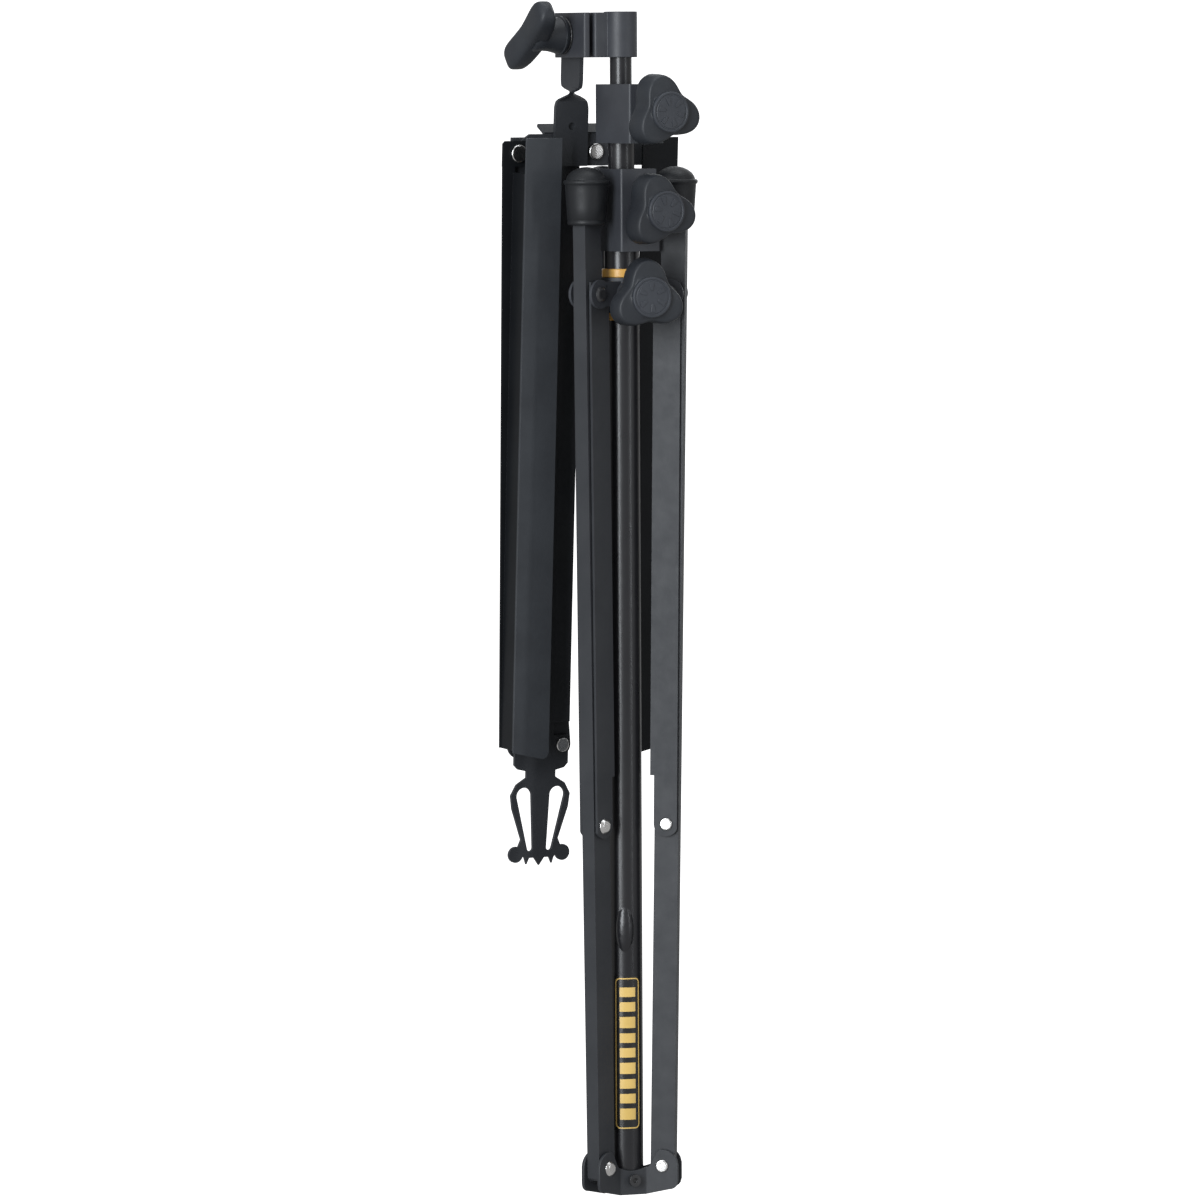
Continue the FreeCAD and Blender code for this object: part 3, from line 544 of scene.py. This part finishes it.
def tube_patch(points, name, count=6):
    """A thin raised print on the tube's skin from (angle in degrees, height in mm) outlines, closed quads."""
    bm = bmesh.new()
    for quad in points:
        (a0, z0), (a1, z1), (a2, z2), (a3, z3) = quad
        rows = []
        for i in range(count + 1):
            t = i / count
            pair = []
            for (ax, zx), (ay, zy) in (((a0, z0), (a1, z1)), ((a3, z3), (a2, z2))):
                angle = LABEL_MID + math.radians(ax + (ay - ax) * t)
                z = zx + (zy - zx) * t
                pair.append(Vector((PRINT_R * math.cos(angle), PRINT_R * math.sin(angle), z)) * MM)
            rows.append(pair)
        for (p, q), (r, s) in zip(rows, rows[1:]):
            bm.faces.new([bm.verts.new(v) for v in (p, r, s, q)])
    bmesh.ops.remove_doubles(bm, verts=bm.verts, dist=1e-7)
    bmesh.ops.recalc_face_normals(bm, faces=bm.faces)
    bmesh.ops.solidify(bm, geom=bm.faces[:], thickness=-PRINT_THICK * MM)
    bmesh.ops.recalc_face_normals(bm, faces=bm.faces)
    mesh = bpy.data.meshes.new(name)
    bm.to_mesh(mesh)
    bm.free()
    return add_object(name, mesh, BODY_OF["decal_plate"], "ring_plastic", PRINT)


def rounded_frame(half, low, high, corner, line):
    """Quads for a rounded rectangle outline, half width in degrees of arc, line width in mm."""
    per = math.degrees(1 / PRINT_R)

    def loop(inset):
        out = []
        for cx, cz, start in ((1, 1, 0), (-1, 1, 90), (-1, -1, 180), (1, -1, 270)):
            for k in range(7):
                a = math.radians(start + 15 * k)
                r = corner - inset
                x = cx * (half - corner * per) + r * per * math.cos(a)
                z = (high - corner if cz > 0 else low + corner) + r * math.sin(a)
                out.append((x, z))
        return out

    outer, inner = loop(0.0), loop(line)
    quads = []
    for i in range(len(outer)):
        j = (i + 1) % len(outer)
        quads.append((outer[i], outer[j], inner[j], inner[i]))
    return quads


def make_label():
    """A rounded outline and a column of plain bars, every third one taller."""
    low, high = LABEL_LOW + OUTLINE_INSET, LABEL_HIGH - OUTLINE_INSET
    frame_quads = rounded_frame(OUTLINE_HALF, low, high, OUTLINE_CORNER, OUTLINE_WIDTH)
    tube_patch(frame_quads, "label_outline", 5)
    quads = []
    z = LABEL_LOW + BAR_START
    for k in range(BAR_COUNT):
        tall = BAR_SHORT if k % 3 else BAR_TALL
        quads.append(((-BAR_HALF, z), (BAR_HALF, z), (BAR_HALF, z + tall), (-BAR_HALF, z + tall)))
        z += tall + BAR_GAP
    tube_patch(quads, "label_bars", 8)


make_label()

# ---------------------------------------------------------------- the rest of the CAD nodes, refined
DESK_BOLT = joint_named("desk_tilt")["pos_m"]
DESK_LEAN = math.radians(3.2)
# Where the painted shade starts on each page ledge: on the left-hand one behind its lip, on the right-hand one in
# front of the whole ledge, so all of it is painted in shadow.
BEHIND_LIP = -0.0111  # depth where a ledge's lip ends and its web begins, from the bolt
BEFORE_LIP = -0.0140  # in front of the whole ledge
EDGE_MM = {  # bevel width in millimetres and its segments, by finish
    "tube_enamel": (0.35, 2), "sheet_enamel": (0.28, 2), "block_enamel": (0.45, 3),
    "bushing_plastic": (0.25, 2), "ring_plastic": (0.7, 3), "bright_rivet": (1.15, 6),
    "black_steel": (0.4, 2), "brass_shoe": (0.15, 1), "decal_film": (0.0, 1),
}
DONE = {f"{part}_{i}" for part in ("clamp_knob", "knob_cap", "rubber_foot") for i in (1, 2, 3)}
DONE |= {"wing_knob", "hub_bracket"}
# The page ledges get a lighter copy of sheet_enamel as painted light for the lit lip, plus painted shade behind a
# plane through the desk bolt: the web on the left-hand ledge, and the whole right-hand ledge as a painted shadow.
LEDGE_LIT_AND_SHADED_FINISH = {
    f"page_ledge_{side}": finish_of(
        f"ledge_lit_and_shaded_enamel_{side}", (0.027, 0.030, 0.035), (0.036, 0.040, 0.046), (0.48, 0.60),
        (2400, 0.16, 0.00006), (60, 0.12, 0.0003), scuff=0.08, painted_shade=(DESK_BOLT, DESK_LEAN, start))
    for side, start in (("left", BEHIND_LIP), ("right", BEFORE_LIP))
}
for node_name in sorted(NODES):
    if node_name not in DONE:
        width, count = EDGE_MM[SLOT_OF[node_name]]
        look = refined(node_name, width, count)
        if node_name in LEDGE_LIT_AND_SHADED_FINISH:
            look.data.materials[0] = LEDGE_LIT_AND_SHADED_FINISH[node_name]


# ---------------------------------------------------------------- room, light and camera
def plain(name, colour, emission):
    """A pale stage surface with a faint drift in its colour."""
    b = Nodes(name)
    high = tuple(min(1.0, c * 1.02) for c in colour)
    b.link(b.ramp(b.noise(1.2, 2.0), [(0.3, colour), (0.7, high)]), b.bsdf.inputs["Base Color"])
    b.bsdf.inputs["Roughness"].default_value = 0.8
    b.bsdf.inputs["Specular IOR Level"].default_value = 0.1
    b.bsdf.inputs["Emission Color"].default_value = (1, 1, 1, 1)
    b.bsdf.inputs["Emission Strength"].default_value = emission
    return b.mat


def stage_object(name, bm, material):
    mesh = bpy.data.meshes.new(name)
    bm.to_mesh(mesh)
    bm.free()
    mesh.materials.append(material)
    obj = bpy.data.objects.new(name, mesh)
    bpy.context.scene.collection.objects.link(obj)
    obj.visible_glossy = False
    obj.visible_diffuse = False
    return obj


def make_room():
    """A white surround that the camera sees but the object doesn't reflect."""
    bm = bmesh.new()
    bmesh.ops.create_uvsphere(bm, u_segments=48, v_segments=24, radius=14.0)
    dome = stage_object("surround", bm, plain("surround", (0.9, 0.9, 0.9), 0.95))
    dome.visible_shadow = False
    dome.visible_transmission = False


COOL_WHITE = (0.92, 0.96, 1.0)


def area_light(name, place, aim, size, power):
    data = bpy.data.lights.new(name, "AREA")
    data.shape = "RECTANGLE"
    data.size, data.size_y = size
    data.energy = power
    data.color = COOL_WHITE
    light = bpy.data.objects.new(name, data)
    light.location = place
    light.rotation_mode = "QUATERNION"
    light.rotation_quaternion = (Vector(aim) - Vector(place)).to_track_quat("-Z", "Y")
    bpy.context.scene.collection.objects.link(light)


make_room()
AZIMUTH = math.radians(-30.0)
TOWARD = Vector((math.sin(AZIMUTH), -math.cos(AZIMUTH), 0))
RIGHT = Vector((math.cos(AZIMUTH), math.sin(AZIMUTH), 0))
MIDDLE = (0, 0, 0.28)
KEY_PLACE = TOWARD * 1.8 - RIGHT * 0.95 + Vector((0, 0, 0.7))
FILL_PLACE = TOWARD * 1.2 + RIGHT * 1.6 + Vector((0, 0, 0.7))
BACK_PLACE = -TOWARD * 1.5 + RIGHT * 0.3 + Vector((0, 0, 0.9))
area_light("key", KEY_PLACE, MIDDLE, (0.7, 1.6), 44.0)
area_light("fill", FILL_PLACE, MIDDLE, (0.14, 1.5), 5.0)
area_light("top", (0.1, -0.1, 1.9), (0, 0, 0.3), (1.4, 1.4), 12.0)
area_light("back", BACK_PLACE, (0, 0, 0.3), (1.6, 1.0), 8.0)

world = bpy.data.worlds.new("studio")
bpy.context.scene.world = world
world.use_nodes = True
world.node_tree.nodes["Background"].inputs["Color"].default_value = (1.0, 1.0, 1.0, 1)
world.node_tree.nodes["Background"].inputs["Strength"].default_value = 0.45

DISTANCE = 3.5
EYE_HEIGHT = 0.512
AIM_HEIGHT = 0.2701
LEFTWARD = 0.0105
VIEW_WIDTH = 0.5417
ROLL_DEGREES = 0.28
camera = bpy.data.objects.new("camera", bpy.data.cameras.new("camera"))
camera.data.sensor_width = 36.0
camera.data.lens = 36.0 * DISTANCE / VIEW_WIDTH
camera.data.clip_start = 0.05
camera.location = TOWARD * DISTANCE - RIGHT * LEFTWARD + Vector((0, 0, EYE_HEIGHT))
LOOK = (Vector((0, 0, AIM_HEIGHT - EYE_HEIGHT)) - TOWARD * DISTANCE).normalized()
camera.rotation_mode = "QUATERNION"
ROLL = Matrix.Rotation(math.radians(ROLL_DEGREES), 4, LOOK).to_quaternion()
camera.rotation_quaternion = ROLL @ LOOK.to_track_quat("-Z", "Y")
bpy.context.scene.collection.objects.link(camera)
bpy.context.scene.camera = camera
bpy.context.scene.view_settings.view_transform = "Standard"
